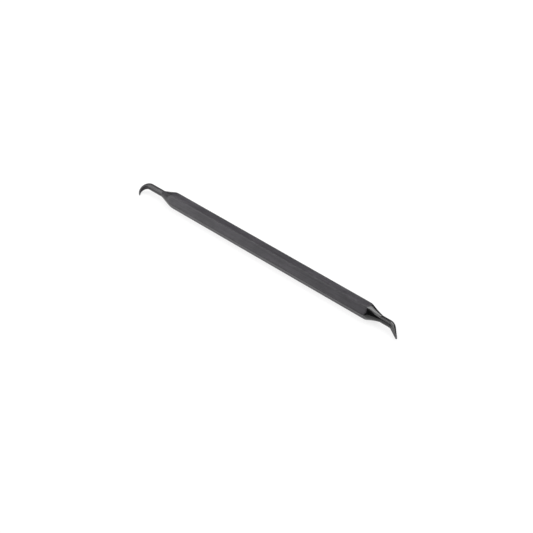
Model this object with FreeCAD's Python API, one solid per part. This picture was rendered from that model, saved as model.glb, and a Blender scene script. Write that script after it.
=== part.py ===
"""Spudger tool: a one-piece moulded hexagonal bar with a hook at one end and a bent pick at the other.

Millimetres. +X runs along the bar from the hook to the pick and +Z is up. The tool lies on one flat
of the bar, and the origin is the centre of that flat. Hook and pick curve the same way, in one plane
that holds the bar's axis and the middle of the next flat round, 30 degrees below the horizontal.
The model is built with that plane level and the bar on the X axis, and turned onto its flat at the end.
"""
import FreeCAD, Part
import math
import os

Vec = FreeCAD.Vector

# Driving dimensions
ACROSS_FLATS = 6.35      # hexagonal bar
EDGE_ROUND = 0.3         # radius along the bar's six edges
BAR_LENGTH = 110.5       # full hexagon, between the two tapers
NECK_RADIUS = 1.46       # both necks

TAPER_BULGE = 0.35       # how far a taper's sides bow out past the flats where it starts

HOOK_TAPER = 6.5         # hexagon down to round neck
HOOK_TAPER_DIP = 0.1     # how much steeper than straight the taper starts, as a share of its slope
HOOK_NECK = 7.8          # straight neck before the hook
HOOK_RADIUS = 3.32       # centre line of the hook's arc
HOOK_SWEEP = 143.0       # degrees
HOOK_TIP_RADIUS = 0.18
HOOK_FINENESS = 1.45     # above 1 the hook stays thick for longer, then thins faster

PICK_TAPER = 6.4
PICK_TAPER_DIP = 0.35
PICK_NECK = 3.9          # straight neck before the bend
PICK_BEND_RADIUS = 4.3   # centre line of the bend
PICK_BEND = 38.5         # degrees
PICK_POINT = 4.7         # straight run from the bend to the tip
PICK_TIP_RADIUS = 0.35
PICK_TAPER_START = 0.1   # share of the bend and point that keeps the neck's radius

SIDES = 6
SIDE_ANGLE = 360.0 / SIDES
HALF_SIDE = SIDE_ANGLE / 2
REST_TURN = 30.0         # from the hook's plane level to the bar lying on a flat
NECK_EDGE_ANGLE = 8.0    # half of the arc that each of the bar's edges widens to on the round neck
CURVE_SECTIONS = 12      # sections along the hook, and along the pick

APOTHEM = ACROSS_FLATS / 2
HALF_BAR = BAR_LENGTH / 2
HOOK_NECK_START = HALF_BAR + HOOK_TAPER
HOOK_START = HOOK_NECK_START + HOOK_NECK
PICK_NECK_START = HALF_BAR + PICK_TAPER
PICK_START = PICK_NECK_START + PICK_NECK


def polar(x, radius, degrees):
    """A point at a distance from the X axis, in the plane across the bar at x."""
    angle = math.radians(degrees)
    return Vec(x, radius * math.cos(angle), radius * math.sin(angle))


def bar_profile():
    """Radii of the rounded hexagon: at a flat's middle, at a rounded edge's ends and at its middle."""
    half = math.radians(HALF_SIDE)
    round_centre = (APOTHEM - EDGE_ROUND) / math.cos(half)
    reach = round_centre + EDGE_ROUND * math.cos(half)
    rise = EDGE_ROUND * math.sin(half)
    return {
        "flat": APOTHEM,
        "edge_end": math.hypot(reach, rise),
        "edge": round_centre + EDGE_ROUND,
        "edge_angle": math.degrees(math.atan2(rise, reach)),
    }


def bowed_profile():
    """The bar's profile with its sides bowed out, where a taper starts."""
    bowed = bar_profile()
    bowed["flat"] += TAPER_BULGE
    return bowed


def neck_profile():
    """The round neck, cut into the same twelve stretches as the bar."""
    return {
        "flat": NECK_RADIUS,
        "edge_end": NECK_RADIUS,
        "edge": NECK_RADIUS,
        "edge_angle": NECK_EDGE_ANGLE,
    }


def blend_profiles(first, second, share):
    """The profile part of the way from one to the other."""
    return {key: first[key] + (second[key] - first[key]) * share for key in first}


def side_edge(start, middle, end):
    """One side of a section: straight on the bar, bowed where the section turns round."""
    chord_middle = (start + end) * 0.5
    if chord_middle.distanceToPoint(middle) < 1e-6:
        return Part.LineSegment(start, end).toShape()
    return Part.Arc(start, middle, end).toShape()


def section(x, profile):
    """Closed wire across the bar: a side and a rounded edge, six times."""
    edges = []
    for side in range(SIDES):
        flat_angle = side * SIDE_ANGLE
        edge_angle = flat_angle + HALF_SIDE
        side_start = polar(x, profile["edge_end"], flat_angle - HALF_SIDE + profile["edge_angle"])
        side_end = polar(x, profile["edge_end"], edge_angle - profile["edge_angle"])
        next_start = polar(x, profile["edge_end"], edge_angle + profile["edge_angle"])
        edges.append(side_edge(side_start, polar(x, profile["flat"], flat_angle), side_end))
        edges.append(Part.Arc(side_end, polar(x, profile["edge"], edge_angle), next_start).toShape())
    return Part.Wire(edges)


def hexagonal_rod(start, end):
    """The rounded hexagon, from one X to another."""
    return Part.Face(section(start, bar_profile())).extrude(Vec(end - start, 0, 0))


def taper(direction, length, dip):
    """Almost conical change from hexagon to round neck, towards -X or +X, as on a sharpened pencil.

    The sides start bowed, so each flat of the bar runs on into the taper and ends in an arc.
    """
    wires = []
    for share in (0.0, 0.5, 1.0):
        x = direction * (HALF_BAR + share * length)
        narrowing = share + dip * share * (1 - share)
        wires.append(section(x, blend_profiles(bowed_profile(), neck_profile(), narrowing)))
    outline = hexagonal_rod(direction * HALF_BAR, direction * (HALF_BAR + length))
    return Part.makeLoft(wires, True, False).common(outline)


def neck(start, end):
    """Straight round neck, from one X to another."""
    return Part.makeCylinder(NECK_RADIUS, end - start, Vec(start, 0, 0), Vec(1, 0, 0))


def ring(centre, turn, radius):
    """Round section at a point of a curved centre line, turned with the line."""
    circle = Part.makeCircle(radius, Vec(0, 0, 0), Vec(1, 0, 0))
    circle.Placement = FreeCAD.Placement(centre, FreeCAD.Rotation(Vec(0, 0, 1), turn))
    return Part.Wire([circle])


def thinning_rod(centre_line, radius_at):
    """Loft along a centre line, closed by a ball at the tip."""
    rings = []
    for step in range(CURVE_SECTIONS + 1):
        share = step / CURVE_SECTIONS
        centre, turn = centre_line(share)
        rings.append(ring(centre, turn, radius_at(share)))
    tip_centre = centre_line(1.0)[0]
    return Part.makeLoft(rings, True, False).fuse(Part.makeSphere(radius_at(1.0), tip_centre))


def hook_line(share):
    """Point and turn of the hook's arc, curling towards -Y."""
    turn = HOOK_SWEEP * share
    angle = math.radians(turn)
    x = -HOOK_START - HOOK_RADIUS * math.sin(angle)
    return Vec(x, -HOOK_RADIUS * (1 - math.cos(angle)), 0), turn


def hook_radius(share):
    """Radius along the hook: the neck's, then finer and finer."""
    return NECK_RADIUS + (HOOK_TIP_RADIUS - NECK_RADIUS) * share ** HOOK_FINENESS


def pick_line(share):
    """Point and turn of the pick's bend and straight run, leaning towards -Y."""
    bend = math.radians(PICK_BEND)
    along = share * (PICK_BEND_RADIUS * bend + PICK_POINT)
    angle = min(along / PICK_BEND_RADIUS, bend)
    straight = max(0.0, along - PICK_BEND_RADIUS * bend)
    x = PICK_START + PICK_BEND_RADIUS * math.sin(angle) + straight * math.cos(angle)
    y = -PICK_BEND_RADIUS * (1 - math.cos(angle)) - straight * math.sin(angle)
    return Vec(x, y, 0), -math.degrees(angle)


def pick_radius(share):
    """Radius along the bend and point: the neck's, then thinning evenly to the tip."""
    thinning = max(0.0, (share - PICK_TAPER_START) / (1 - PICK_TAPER_START))
    return NECK_RADIUS + (PICK_TIP_RADIUS - NECK_RADIUS) * thinning


def spudger_body():
    """The whole moulding, turned to lie on a flat with its underside at Z 0."""
    hook_end = [
        taper(-1, HOOK_TAPER, HOOK_TAPER_DIP),
        neck(-HOOK_START, -HOOK_NECK_START),
        thinning_rod(hook_line, hook_radius),
    ]
    pick_end = [
        taper(1, PICK_TAPER, PICK_TAPER_DIP),
        neck(PICK_NECK_START, PICK_START),
        thinning_rod(pick_line, pick_radius),
    ]
    body = hexagonal_rod(-HALF_BAR, HALF_BAR).multiFuse(hook_end + pick_end).removeSplitter()
    body.rotate(Vec(0, 0, 0), Vec(1, 0, 0), REST_TURN)
    body.translate(Vec(0, 0, APOTHEM))
    return body.Solids[0]


os.makedirs("parts", exist_ok=True)
spudger_body().exportStep("parts/spudger_body.step")
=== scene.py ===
"""Looks of the spudger tool: one moulded mesh over the CAD body, its plastic, a pale floor and soft light.

Metres, in the part's frame: +X along the bar from the hook to the pick, +Z up, the bar lying on a flat
with the centre of that flat at the origin. The mesh is made level, about the bar's axis, with the hook
and the pick curving towards -Y, and then turned onto its flat as the part is.
"""

import math

import bpy
from mathutils import Matrix, Vector, noise


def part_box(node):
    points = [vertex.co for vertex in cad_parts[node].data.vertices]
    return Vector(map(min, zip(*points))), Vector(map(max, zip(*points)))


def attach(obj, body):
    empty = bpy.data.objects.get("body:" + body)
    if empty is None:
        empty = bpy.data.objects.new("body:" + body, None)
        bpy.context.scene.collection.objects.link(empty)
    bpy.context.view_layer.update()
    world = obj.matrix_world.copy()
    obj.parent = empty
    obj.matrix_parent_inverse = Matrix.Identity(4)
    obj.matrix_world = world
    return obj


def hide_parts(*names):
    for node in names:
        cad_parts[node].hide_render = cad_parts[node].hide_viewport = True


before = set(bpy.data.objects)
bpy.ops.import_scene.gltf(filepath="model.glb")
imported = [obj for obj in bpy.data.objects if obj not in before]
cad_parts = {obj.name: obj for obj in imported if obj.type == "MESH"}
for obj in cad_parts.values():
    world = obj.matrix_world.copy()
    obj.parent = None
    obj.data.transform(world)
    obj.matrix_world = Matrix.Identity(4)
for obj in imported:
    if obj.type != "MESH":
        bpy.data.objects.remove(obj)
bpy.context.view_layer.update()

MM = 0.001
HALF_SIDE = math.pi / 6     # angle from the middle of a flat to the edge beside it
NODE = "spudger_body"       # the CAD body that the mesh stands for

# Sizes of the moulding. The bar's width comes from the frame, the rest repeats the part's source.
LOW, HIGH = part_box(NODE)
APOTHEM = (HIGH.z - LOW.z) / 2
EDGE_ROUND = 0.3 * MM
HALF_BAR = 55.25 * MM
NECK_RADIUS = 1.46 * MM
HOOK_TAPER = 6.5 * MM
HOOK_NECK = 7.8 * MM
HOOK_RADIUS = 3.32 * MM
HOOK_SWEEP = math.radians(143.0)
HOOK_TIP_RADIUS = 0.18 * MM
HOOK_FINENESS = 1.45
PICK_TAPER = 6.4 * MM
PICK_NECK = 3.9 * MM
PICK_BEND_RADIUS = 4.3 * MM
PICK_BEND = math.radians(38.5)
PICK_POINT = 4.7 * MM
PICK_TIP_RADIUS = 0.35 * MM
PICK_TAPER_START = 0.1      # share of the pick's length after which it thins
REST_TURN = math.radians(30.0)

REST = Matrix.Translation((0, 0, APOTHEM)) @ Matrix.Rotation(REST_TURN, 4, "X")
HOOK_NECK_START = HALF_BAR + HOOK_TAPER
HOOK_START = HOOK_NECK_START + HOOK_NECK
PICK_NECK_START = HALF_BAR + PICK_TAPER
PICK_START = PICK_NECK_START + PICK_NECK

# Detail of the moulding
TAPER_ROUNDNESS = 0.62      # how round the taper's section is where it starts, from 0 to 1
TAPER_ROUNDING = 1.6        # power by which it gets rounder along the taper
TAPER_EDGE = 0.09           # edge radius of the taper's facets, as a share of its half width
HOOK_TAPER_DIP = 0.1        # how much steeper than straight a taper starts
PICK_TAPER_DIP = 0.35
CREASE = 0.10 * MM          # softness of the corner where the flats meet the taper
SINK = 0.035 * MM           # how far the middle of each flat has sunk as the plastic cooled
SINK_WIDTH = 0.8            # share of the flat's width that has sunk
SINK_FADE = 5 * MM          # length over which the sink fades towards the bar's ends
SINK_WAVE = 0.012 * MM      # unevenness of the sink
SINK_WAVE_SCALE = 55        # of its noise along the bar, per metre
SINK_WAVE_STEP = 3.7        # of its noise from one flat to the next
SEAM_HEIGHT = 0.018 * MM    # witness line of the mould, in the plane of the hook and pick
SEAM_HALF_WIDTH = 0.07 * MM

# The plastic: dark and light colour, and least and most roughness, on the bar and on the polished ends
BAR_DARK = (0.0210, 0.0190, 0.0232, 1)
BAR_LIGHT = (0.0480, 0.0440, 0.0520, 1)
END_DARK = (0.004, 0.004, 0.0042, 1)
END_LIGHT = (0.008, 0.008, 0.0083, 1)
BAR_ROUGHNESS = (0.46, 0.56)
END_ROUGHNESS = (0.14, 0.19)
PLASTIC_IOR = 1.5
STREAK_SHARE = 0.6          # of the bar's colour variation; the clouds give the rest
CLOUD_SHARE = 0.4
STREAK_DEPTH = 0.06 * MM    # of their bump
STREAK_STRENGTH = (0.35, 0.06)      # of their bump, on the bar and on the polished ends
GRAIN_DEPTH = 0.04 * MM
GRAIN_STRENGTH = (0.5, 0.07)

# Noises of the plastic: scale along X, Y and Z, detail and roughness.
STREAKS = ((60, 2600, 2600), 4.0, 0.6)      # long along the bar, fine across it
GRAIN = ((900, 7000, 7000), 3.0, 0.6)
CLOUDS = ((120, 260, 260), 3.0, 0.5)
FINE = ((5200, 5200, 5200), 2.0, 0.5)

# Parts of the noises' span that the colours and the roughness use
TONE_SPAN = (0.35, 0.66)
NOISE_SPAN = (0.3, 0.7)
SHADE_AND_RUB_SPAN = (0.25, 0.6)
SHADE_AND_RUB_LEAST = 0.75            # share of the edges' painted shade and burnish that is there everywhere

# Zones of the plastic's skin
POLISH_REACH = 2 * MM       # how far inside the bar's end polish may start
POLISH_START = 0.03 * MM    # depth below the flats at which it starts, and over which it sets in
POLISH_FADE = 0.12 * MM
NECK_POLISH = 0.72          # the pick's neck and point, against 1 on its taper
NECK_FADE = 2 * MM
HOOK_POLISH = 0.55          # the hook's end is less polished than the pick's
EDGE_ZONE = math.radians(4.5)       # each side of an edge's middle
EDGE_REACH = 1 * MM         # how far past the bar's end its edges are still marked
# Painted shade: how far the bar's edges are darkened towards the ends' dark colour, standing in for a dark
# reflection along them
EDGE_PAINTED_SHADE = 0.8
EDGE_POLISH = 0.15

WHITE = (1, 1, 1, 1)

# Floor. The paper glows a little, as if lit from below, which keeps the shadow faint.
FLOOR_RADIUS = 4.0
FLOOR_VERTICES = 96
FLOOR_TONES = ((0.19, 0.19, 0.19, 1), (0.21, 0.21, 0.21, 1))
FLOOR_NOISE = (40.0, 2.0, 0.55)     # scale, detail and roughness
FLOOR_ROUGHNESS = 0.9
FLOOR_SPECULAR = 0.1
FLOOR_GLOW = 0.80

# Softboxes: degrees of azimuth from the camera's, degrees of elevation, and radiance.
SOFTBOXES = (
    (0, 58, 0.3),
    (100, 76, 3.2),
    (135, 58, 4.8),
    (205, 48, 1.6),
    (252, 52, 3.6),
    (225, 12, 0.86),
    (270, 12, 3.5),
    (270, 35, 2.0),
    (315, 58, 3.5),
)
SOFTBOX_SIZE = 0.5          # diameter
SOFTBOX_DISTANCE = 0.9

# Ceiling: the sines of elevation between which it brightens, and its radiance overhead.
CEILING_REACH = (0.85, 1.0)
CEILING_LIGHT = 0.8

# Camera, as the photograph sees the middle tool: azimuth 0 is from -Y and 90 from +X.
CAMERA_AZIMUTH = 40.73
CAMERA_ELEVATION = 35.20
CAMERA_ROLL = 3.75
CAMERA_DISTANCE = 0.5532
CAMERA_LENS = 90.2
CAMERA_SENSOR = 36.0
CAMERA_CLIP_START = 0.01
CAMERA_TARGET = Vector((0.0036, -0.0034, -0.0003))

# Mesh density. The steps are degrees from the middle of an edge and of the mould's seam.
EDGE_STEPS = (-25, -19, -13, -8.5, -5.5, -3.6, -2.4, -1.2, 0, 1.2, 2.4, 3.6, 5.5, 8.5, 13, 19, 25)
SEAM_STEPS = (-3.6, -2.5, -1.4, 0, 1.4, 2.5, 3.6)
BAR_RINGS = 72
TAPER_RINGS = 44
NECK_RINGS = 14
HOOK_RINGS = 72
PICK_RINGS = 52
TIP_RINGS = 7
CORNER_OVERLAP = 0.3 * MM   # how far inside the bar's ends the tapers' close rings start


# ---------------------------------------------------------------- the moulding's sections

def ring_angles():
    """Angles round a section, close together over the bar's six edges and at the mould's seam."""
    angles = set()
    for side in range(6):
        angles.update(round(side * 60 + 30 + step, 3) % 360 for step in EDGE_STEPS)
        angles.add(side * 60.0)
    for middle in (0, 180):
        angles.update(round(middle + step, 3) % 360 for step in SEAM_STEPS)
    return [math.radians(a) for a in sorted(angles)]


def clamped(value):
    """value, kept between 0 and 1."""
    return min(1.0, max(0.0, value))


def from_flat(angle):
    """Angle from the middle of the nearest flat, between -30 and 30 degrees, in radians."""
    return (angle + HALF_SIDE) % (2 * HALF_SIDE) - HALF_SIDE


def smooth_min(a, b, width):
    """The smaller of two lengths, with the corner between them rounded over width."""
    h = max(0.0, 1 - abs(a - b) / (4 * width))
    return min(a, b) - h * h * width


def rounded_hexagon(angle, apothem, edge_round):
    """Radius of a hexagon with rounded edges, flats facing 0, 60 ... degrees."""
    off = abs(from_flat(angle))
    centre = (apothem - edge_round) / math.cos(HALF_SIDE)
    to_edge = HALF_SIDE - off
    tangent = math.atan2(edge_round * math.sin(HALF_SIDE), centre + edge_round * math.cos(HALF_SIDE))
    if to_edge > tangent:
        return apothem / math.cos(off)
    return centre * math.cos(to_edge) + math.sqrt(edge_round ** 2 - (centre * math.sin(to_edge)) ** 2)


def bar_radius(angle, x):
    """The bar: a rounded hexagon whose flats have sunk a little, unevenly along the length."""
    off = abs(from_flat(angle)) / HALF_SIDE
    side = round(angle / (2 * HALF_SIDE)) % 6
    wave = noise.noise(Vector((x * SINK_WAVE_SCALE, side * SINK_WAVE_STEP, 0.0)))
    across = max(0.0, 1 - (off / SINK_WIDTH) ** 2) ** 2
    fade = clamped((HALF_BAR - abs(x)) / SINK_FADE)
    sunk = (SINK + SINK_WAVE * wave) * across * fade
    return rounded_hexagon(angle, APOTHEM, EDGE_ROUND) - sunk


def taper_radius(angle, beyond, length, dip):
    """The taper, a distance beyond the bar's end: six bowed facets that turn into the round neck."""
    share = clamped(beyond / length)
    roundness = TAPER_ROUNDNESS + (1 - TAPER_ROUNDNESS) * share ** TAPER_ROUNDING
    hexagon = rounded_hexagon(angle, 1.0, TAPER_EDGE)
    corner = rounded_hexagon(HALF_SIDE, 1.0, TAPER_EDGE)
    bar_corner = rounded_hexagon(HALF_SIDE, APOTHEM, EDGE_ROUND)
    start = bar_corner / ((1 - TAPER_ROUNDNESS) * corner + TAPER_ROUNDNESS)
    narrowing = share + dip * share * (1 - share)
    if beyond < 0:
        narrowing = beyond / length * (1 + dip)
    size = start + (NECK_RADIUS - start) * narrowing
    return size * ((1 - roundness) * hexagon + roundness)


def body_radius(angle, x):
    """Bar, taper and neck in one."""
    beyond = abs(x) - HALF_BAR
    length, dip = (HOOK_TAPER, HOOK_TAPER_DIP) if x < 0 else (PICK_TAPER, PICK_TAPER_DIP)
    tapered = max(taper_radius(angle, beyond, length, dip), NECK_RADIUS)
    return smooth_min(bar_radius(angle, x), tapered, CREASE)


def seam(angle, radius):
    """Height of the mould's witness line, which runs down both sides of the section."""
    across = abs(math.sin(angle)) * radius
    return SEAM_HEIGHT * max(0.0, 1 - (across / SEAM_HALF_WIDTH) ** 2)


# ---------------------------------------------------------------- the centre line

def hook_point(share):
    """Centre, turn and radius of the hook at a share of its sweep."""
    turn = HOOK_SWEEP * share
    x = -HOOK_START - HOOK_RADIUS * math.sin(turn)
    y = -HOOK_RADIUS * (1 - math.cos(turn))
    radius = NECK_RADIUS + (HOOK_TIP_RADIUS - NECK_RADIUS) * share ** HOOK_FINENESS
    return Vector((x, y, 0)), turn, radius


def pick_point(share):
    """Centre, turn and radius of the pick at a share of its bend and point."""
    bend_length = PICK_BEND_RADIUS * PICK_BEND
    along = share * (bend_length + PICK_POINT)
    turn = min(along / PICK_BEND_RADIUS, PICK_BEND)
    straight = max(0.0, along - bend_length)
    x = PICK_START + PICK_BEND_RADIUS * math.sin(turn) + straight * math.cos(turn)
    y = -PICK_BEND_RADIUS * (1 - math.cos(turn)) - straight * math.sin(turn)
    thinning = max(0.0, (share - PICK_TAPER_START) / (1 - PICK_TAPER_START))
    radius = NECK_RADIUS + (PICK_TIP_RADIUS - NECK_RADIUS) * thinning
    return Vector((x, y, 0)), -turn, radius


def ring_at(centre, turn, radius_of):
    """A ring of points across the centre line, turned with it. Angle 0 faces the hook's side, -Y."""
    turned = Matrix.Rotation(turn, 3, "Z")
    points = []
    for angle in ANGLES:
        radius = radius_of(angle)
        radius += seam(angle, radius)
        points.append(centre + turned @ Vector((0, -radius * math.cos(angle), radius * math.sin(angle))))
    return points


def tip_rings(centre, turn, radius, direction):
    """Rings of the rounded tip, from its rim to near its pole, and the pole."""
    along = Matrix.Rotation(turn, 3, "Z") @ Vector((direction, 0, 0))
    rings = []
    for step in range(1, TIP_RINGS):
        lift = math.pi / 2 * step / TIP_RINGS
        small = radius * math.cos(lift)
        rings.append(ring_at(centre + along * radius * math.sin(lift), turn, lambda angle: small))
    return rings, centre + along * radius


def spread(start, end, count):
    """Places at count even steps from start towards end, without the end."""
    return [start + (end - start) * i / count for i in range(count)]


def body_rings():
    """Every ring from the hook's rim to the pick's rim."""
    stations = spread(-HOOK_START, -HOOK_NECK_START, NECK_RINGS)
    stations += spread(-HOOK_NECK_START, -HALF_BAR + CORNER_OVERLAP, TAPER_RINGS)
    stations += spread(-HALF_BAR + CORNER_OVERLAP, HALF_BAR - CORNER_OVERLAP, BAR_RINGS)
    stations += spread(HALF_BAR - CORNER_OVERLAP, PICK_NECK_START, TAPER_RINGS)
    stations += spread(PICK_NECK_START, PICK_START, NECK_RINGS)
    rings = []
    for i in range(HOOK_RINGS, 0, -1):
        centre, turn, radius = hook_point(i / HOOK_RINGS)
        rings.append(ring_at(centre, turn, lambda angle, r=radius: r))
    for x in stations:
        rings.append(ring_at(Vector((x, 0, 0)), 0.0, lambda angle, x=x: body_radius(angle, x)))
    for i in range(PICK_RINGS + 1):
        centre, turn, radius = pick_point(i / PICK_RINGS)
        rings.append(ring_at(centre, turn, lambda angle, r=radius: r))
    return rings


def moulding():
    """The whole tool as one closed mesh."""
    centre, turn, radius = hook_point(1.0)
    hook_tip, hook_pole = tip_rings(centre, turn, radius, -1)
    centre, turn, radius = pick_point(1.0)
    pick_tip, pick_pole = tip_rings(centre, turn, radius, 1)
    rings = list(reversed(hook_tip)) + body_rings() + pick_tip
    count = len(ANGLES)
    points = [p for ring in rings for p in ring] + [hook_pole, pick_pole]
    faces = []
    for r in range(len(rings) - 1):
        near, far = r * count, (r + 1) * count
        for i in range(count):
            j = (i + 1) % count
            faces.append((near + j, near + i, far + i, far + j))
    last = (len(rings) - 1) * count
    for i in range(count):
        j = (i + 1) % count
        faces.append((len(points) - 2, i, j))
        faces.append((len(points) - 1, last + j, last + i))
    mesh = bpy.data.meshes.new("spudger")
    mesh.from_pydata([REST @ p for p in points], [], faces)
    mesh.update()
    mesh.shade_smooth()
    piece = bpy.data.objects.new("spudger", mesh)
    bpy.context.scene.collection.objects.link(piece)
    return piece


# ---------------------------------------------------------------- materials

class Graph:
    """Short hand for building the nodes of a material or a world."""

    def __init__(self, owner, shader):
        owner.use_nodes = True
        self.owner = owner
        self.nodes = owner.node_tree.nodes
        self.links = owner.node_tree.links
        self.shader = self.nodes[shader]

    def add(self, kind, inputs=(), **settings):
        """A node, with its settings and its inputs set or linked."""
        node = self.nodes.new(kind)
        for key, value in settings.items():
            setattr(node, key, value)
        for key, value in dict(inputs).items():
            self.put(node.inputs[key], value)
        return node

    def put(self, socket, value):
        """Sets a socket to a value, or links it to another node's socket."""
        if isinstance(value, bpy.types.NodeSocket):
            self.links.new(value, socket)
        else:
            socket.default_value = value

    def ramp(self, value, low, high, to_low=0.0, to_high=1.0):
        """value, smoothly mapped from low..high to to_low..to_high."""
        settings = {"Value": value, "From Min": low, "From Max": high, "To Min": to_low, "To Max": to_high}
        return self.add("ShaderNodeMapRange", settings, interpolation_type="SMOOTHSTEP").outputs["Result"]

    def math(self, operation, a, b=0.0):
        """Result of a Math node."""
        return self.add("ShaderNodeMath", {0: a, 1: b}, operation=operation).outputs[0]

    def mix(self, factor, a, b, kind="RGBA"):
        """Mix of two colours, or of two numbers where kind is FLOAT."""
        node = self.add("ShaderNodeMix", data_type=kind)
        self.put(node.inputs["Factor"], factor)
        self.put(node.inputs["A"], a)
        self.put(node.inputs["B"], b)
        return node.outputs["Result"]

    def noise(self, vector, scale, detail, roughness):
        """Noise from 0 to 1."""
        inputs = {"Vector": vector, "Scale": scale, "Detail": detail, "Roughness": roughness}
        return self.add("ShaderNodeTexNoise", inputs).outputs["Fac"]

    def stretched_noise(self, vector, scales, detail, roughness):
        """Noise from 0 to 1, with a scale for each axis."""
        stretched = self.add("ShaderNodeMapping", {"Vector": vector, "Scale": scales}).outputs["Vector"]
        return self.noise(stretched, 1.0, detail, roughness)

    def finish(self, inputs):
        """Sets or links the shader's own inputs, and returns the material or world."""
        for key, value in inputs.items():
            self.put(self.shader.inputs[key], value)
        return self.owner


def nylon():
    """Dark glass-filled nylon: satin and finely grained on the bar, glossier on the tapers and ends."""
    g = Graph(bpy.data.materials.new("moulded_nylon"), "Principled BSDF")
    place = g.add("ShaderNodeTexCoord").outputs["Object"]
    streaks = g.stretched_noise(place, *STREAKS)
    grain = g.stretched_noise(place, *GRAIN)
    clouds = g.stretched_noise(place, *CLOUDS)
    fine = g.stretched_noise(place, *FINE)
    polished = g.add("ShaderNodeAttribute", attribute_name="polished").outputs["Fac"]
    edge = g.add("ShaderNodeAttribute", attribute_name="edge").outputs["Fac"]

    streak_tone = g.math("MULTIPLY", streaks, STREAK_SHARE)
    tone = g.math("ADD", streak_tone, g.math("MULTIPLY", clouds, CLOUD_SHARE))
    bar_colour = g.mix(g.ramp(tone, *TONE_SPAN), BAR_DARK, BAR_LIGHT)
    end_colour = g.mix(g.ramp(clouds, *NOISE_SPAN), END_DARK, END_LIGHT)
    colour = g.mix(polished, bar_colour, end_colour)
    # Painted shade along the bar's edges, made uneven by the fine noise: the mask darkens the colour there
    # and also lowers the roughness as burnish
    edge_burnish_and_painted_shade = g.math("MULTIPLY", edge, g.ramp(fine, *SHADE_AND_RUB_SPAN, SHADE_AND_RUB_LEAST, 1.0))
    colour = g.mix(g.math("MULTIPLY", edge_burnish_and_painted_shade, EDGE_PAINTED_SHADE), colour, END_DARK)

    satin = g.ramp(streaks, *NOISE_SPAN, *BAR_ROUGHNESS)
    gloss = g.ramp(fine, *NOISE_SPAN, *END_ROUGHNESS)
    worn = g.math("MULTIPLY", edge_burnish_and_painted_shade, -EDGE_POLISH)
    roughness = g.math("ADD", g.mix(polished, satin, gloss, "FLOAT"), worn)

    strength = g.ramp(polished, 0.0, 1.0, *STREAK_STRENGTH)
    bump = {"Height": streaks, "Strength": strength, "Distance": STREAK_DEPTH}
    coarse = g.add("ShaderNodeBump", bump).outputs["Normal"]
    strength = g.ramp(polished, 0.0, 1.0, *GRAIN_STRENGTH)
    bump = {"Height": grain, "Strength": strength, "Distance": GRAIN_DEPTH, "Normal": coarse}
    normal = g.add("ShaderNodeBump", bump).outputs["Normal"]
    return g.finish({"Base Color": colour, "Roughness": roughness, "IOR": PLASTIC_IOR, "Normal": normal})


def paint_zones(piece):
    """Marks the polished skin past the flats, and the bar's edges, which get painted shade in the colour
    and burnish in the roughness.

    The polished zone starts where the taper cuts below the flats, so it ends at the flats' arcs.
    """
    polished, edge = [], []
    level = REST.inverted()
    for i, vertex in enumerate(piece.data.vertices):
        place = level @ vertex.co
        angle = ANGLES[i % len(ANGLES)]
        reach = abs(place.x)
        below = rounded_hexagon(angle, APOTHEM, EDGE_ROUND) - math.hypot(place.y, place.z)
        cut = clamped((below - POLISH_START) / POLISH_FADE) if reach > HALF_BAR - POLISH_REACH else 0.0
        skin = 1.0 if reach > PICK_NECK_START else cut
        along_neck = clamped((place.x - PICK_NECK_START) / NECK_FADE + 0.5)
        pick_polish = 1 + (NECK_POLISH - 1) * along_neck
        polished.append(skin * (HOOK_POLISH if place.x < 0 else pick_polish))
        # edge mask: painted shade and a little burnish along the bar's six edges
        near = max(0.0, 1 - (HALF_SIDE - abs(from_flat(angle))) / EDGE_ZONE)
        edge.append(near * (1 - cut) if reach < HALF_BAR + EDGE_REACH else 0.0)
    for name, values in (("polished", polished), ("edge", edge)):
        layer = piece.data.attributes.new(name, "FLOAT", "POINT")
        layer.data.foreach_set("value", values)


def paper():
    """Plain pale paper that glows a little."""
    g = Graph(bpy.data.materials.new("pale_floor"), "Principled BSDF")
    place = g.add("ShaderNodeTexCoord").outputs["Object"]
    return g.finish({
        "Base Color": g.mix(g.noise(place, *FLOOR_NOISE), *FLOOR_TONES),
        "Roughness": FLOOR_ROUGHNESS,
        "Specular IOR Level": FLOOR_SPECULAR,
        "Emission Color": WHITE,
        "Emission Strength": FLOOR_GLOW,
    })


# ---------------------------------------------------------------- floor, light and camera

def floor():
    """Round pale floor under the object."""
    bpy.ops.mesh.primitive_circle_add(
        vertices=FLOOR_VERTICES, radius=FLOOR_RADIUS, fill_type="NGON", location=(0, 0, 0))
    disc = bpy.context.active_object
    disc.name = "floor"
    disc.data.materials.append(paper())


def direction(azimuth, elevation):
    """Unit vector towards a place: azimuth 0 is -Y and 90 is +X."""
    a, e = math.radians(azimuth), math.radians(elevation)
    return Vector((math.sin(a) * math.cos(e), -math.cos(a) * math.cos(e), math.sin(e)))


def aim(thing, target):
    """Turns a lamp or a camera at its place towards a target."""
    thing.rotation_euler = (thing.location - target).to_track_quat("Z", "Y").to_euler()


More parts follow.
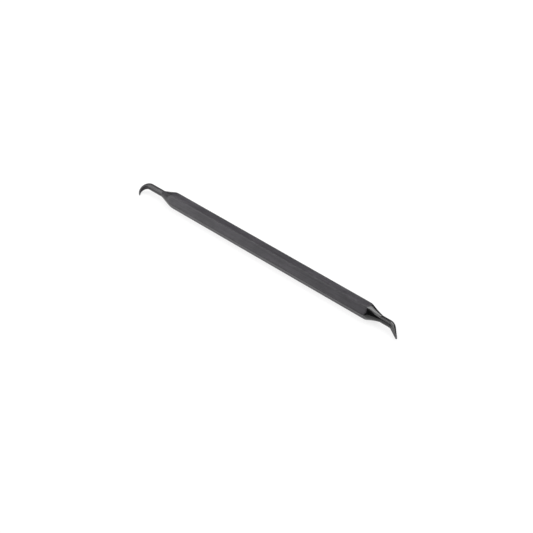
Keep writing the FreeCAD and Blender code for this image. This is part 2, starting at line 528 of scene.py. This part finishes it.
def softboxes():
    """Round softboxes standing around the object, all the same size and distance."""
    face = math.pi * (SOFTBOX_SIZE / 2) ** 2
    for count, (azimuth, elevation, radiance) in enumerate(SOFTBOXES):
        name = f"softbox_{count + 1}"
        data = bpy.data.lights.new(name, "AREA")
        data.shape = "DISK"
        data.size = SOFTBOX_SIZE
        data.energy = radiance * math.pi * face
        lamp = bpy.data.objects.new(name, data)
        lamp.location = direction(CAMERA_AZIMUTH + azimuth, elevation) * SOFTBOX_DISTANCE
        aim(lamp, Vector((0, 0, 0)))
        bpy.context.scene.collection.objects.link(lamp)


def ceiling():
    """World that is dark around the sides and bright overhead, seen by the camera as a pale backdrop."""
    g = Graph(bpy.data.worlds.new("studio"), "Background")
    towards = g.add("ShaderNodeTexCoord").outputs["Generated"]
    height = g.add("ShaderNodeSeparateXYZ", {"Vector": towards}).outputs["Z"]
    low_edge, high_edge = CEILING_REACH
    reach = {"Value": height, "From Min": low_edge, "From Max": high_edge, "To Max": CEILING_LIGHT}
    light = g.add("ShaderNodeMapRange", reach).outputs["Result"]
    seen = g.add("ShaderNodeLightPath").outputs["Is Camera Ray"]
    bpy.context.scene.world = g.finish({"Color": WHITE, "Strength": g.math("MAXIMUM", light, seen)})


def camera():
    """Camera at the photograph's viewing angle."""
    data = bpy.data.cameras.new("camera")
    data.lens = CAMERA_LENS
    data.sensor_width = CAMERA_SENSOR
    data.clip_start = CAMERA_CLIP_START
    cam = bpy.data.objects.new("camera", data)
    cam.location = CAMERA_TARGET + direction(CAMERA_AZIMUTH, CAMERA_ELEVATION) * CAMERA_DISTANCE
    aim(cam, CAMERA_TARGET)
    cam.rotation_euler.rotate_axis("Z", math.radians(CAMERA_ROLL))
    bpy.context.scene.collection.objects.link(cam)
    bpy.context.scene.camera = cam


ANGLES = ring_angles()
spudger = moulding()
paint_zones(spudger)
spudger.data.materials.append(nylon())
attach(spudger, "root")
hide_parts(NODE)
floor()
softboxes()
ceiling()
camera()
bpy.context.scene.view_settings.view_transform = "Standard"
